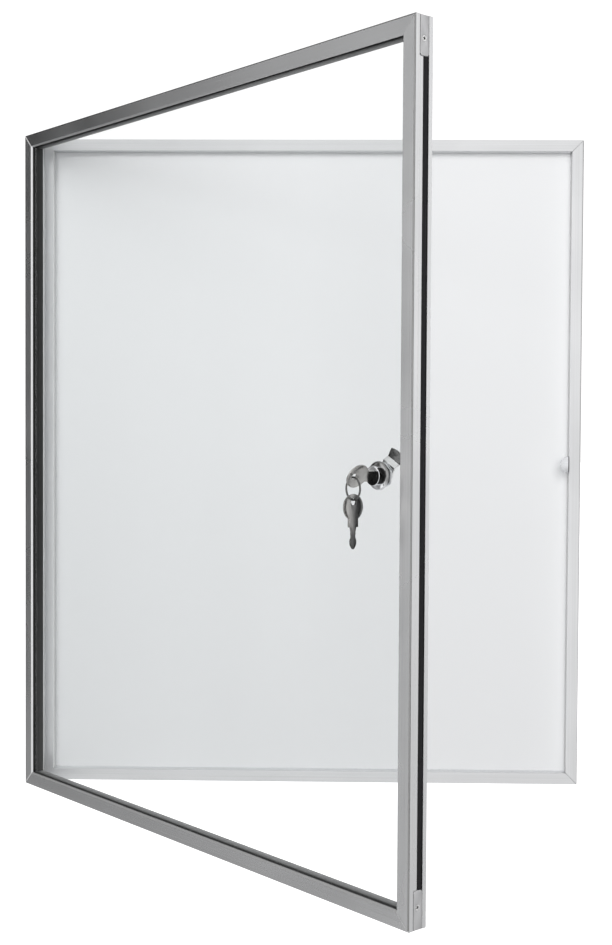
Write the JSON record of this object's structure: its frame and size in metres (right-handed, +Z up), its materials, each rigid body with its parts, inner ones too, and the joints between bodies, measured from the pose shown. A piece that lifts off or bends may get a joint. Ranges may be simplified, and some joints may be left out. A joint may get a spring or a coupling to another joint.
{
  "type": "lockable notice board",
  "caption": "Slim wall-hung notice board: mitred aluminium case round a white writing sheet, hinged glazed door, cam lock through the pane with key, ring and spare key, half-round keeper.",
  "frame": {"origin": "centre of the case's rear sheet, in the plane of the wall", "axes": "+Z up, +X towards the lock side as seen from the front, +Y into the wall, -Y out of the front"},
  "size_m": [0.6874, 0.5395, 0.8],
  "materials": {
    "anodised_aluminium": "satin anodised",
    "plain_aluminium": "plain rolled",
    "white_lacquer": "glossy white lacquer",
    "core_board": "raw fibre board",
    "galvanised_steel": "galvanised",
    "clear_pane": "clear",
    "black_rubber": "matt",
    "grey_plastic": "matt",
    "chrome": "polished",
    "steel": "bright zinc plated",
    "nickel": "nickel plated"
  },
  "bodies": {
    "case": {"case_stile_left": "anodised_aluminium", "case_rail_top": "anodised_aluminium", "case_stile_right": "anodised_aluminium", "case_rail_bottom": "anodised_aluminium", "case_corner_bracket_bottom_left": "galvanised_steel", "case_corner_bracket_top_left": "galvanised_steel", "case_corner_bracket_top_right": "galvanised_steel", "case_corner_bracket_bottom_right": "galvanised_steel", "whiteboard_sheet": "white_lacquer", "core_board": "core_board", "rear_sheet": "plain_aluminium", "hanger_plate_left": "galvanised_steel", "hanger_plate_right": "galvanised_steel", "case_hinge_leaf_top": "steel", "case_hinge_leaf_bottom": "steel", "hinge_pin_top": "steel", "hinge_pin_bottom": "steel", "keeper": "steel"},
    "door": {"door_stile_hinge": "anodised_aluminium", "door_rail_top": "anodised_aluminium", "door_stile_free": "anodised_aluminium", "door_rail_bottom": "anodised_aluminium", "door_corner_bracket_bottom_hinge": "galvanised_steel", "door_corner_bracket_top_hinge": "galvanised_steel", "door_corner_bracket_top_free": "galvanised_steel", "door_corner_bracket_bottom_free": "galvanised_steel", "glazing_gasket": "black_rubber", "pane": "clear_pane", "free_edge_seal": "black_rubber", "edge_block_top": "grey_plastic", "edge_block_screw_top": "steel", "edge_block_bottom": "grey_plastic", "edge_block_screw_bottom": "steel", "door_hinge_leaf_top": "steel", "door_hinge_leaf_bottom": "steel", "lock_housing": "chrome", "lock_rosette": "chrome", "lock_nut": "steel"},
    "lock": {"lock_plug": "chrome", "cam": "steel", "cam_nut": "steel"},
    "key": {"key": "nickel"},
    "ring": {"key_ring": "chrome"},
    "spare": {"spare_key": "nickel"}
  },
  "joints": [
    {"name": "door_hinge", "type": "hinge", "parent": "case", "child": "door", "pos_m": [-0.3383, -0.0245, 0], "axis": [0, 0, -1], "range_deg": [-48, 72]},
    {"name": "lock_turn", "type": "hinge", "parent": "door", "child": "lock", "pos_m": [0.06573, -0.50684, 0], "axis": [-0.7431, -0.6691, 0], "range_deg": [-60, 30]},
    {"name": "key_slide", "type": "slide", "parent": "lock", "child": "key", "axis": [-0.7431, -0.6691, 0], "range_m": [0, 0.022]},
    {"name": "ring_swing", "type": "hinge", "parent": "key", "child": "ring", "pos_m": [0.04492, -0.52558, -0.0008], "axis": [-0.6691, 0.7431, 0], "range_deg": [-10, 75]},
    {"name": "spare_key_swing", "type": "hinge", "parent": "ring", "child": "spare", "pos_m": [0.04492, -0.52558, -0.0208], "axis": [-0.6691, 0.7431, 0], "range_deg": [-15, 60]}
  ]
}
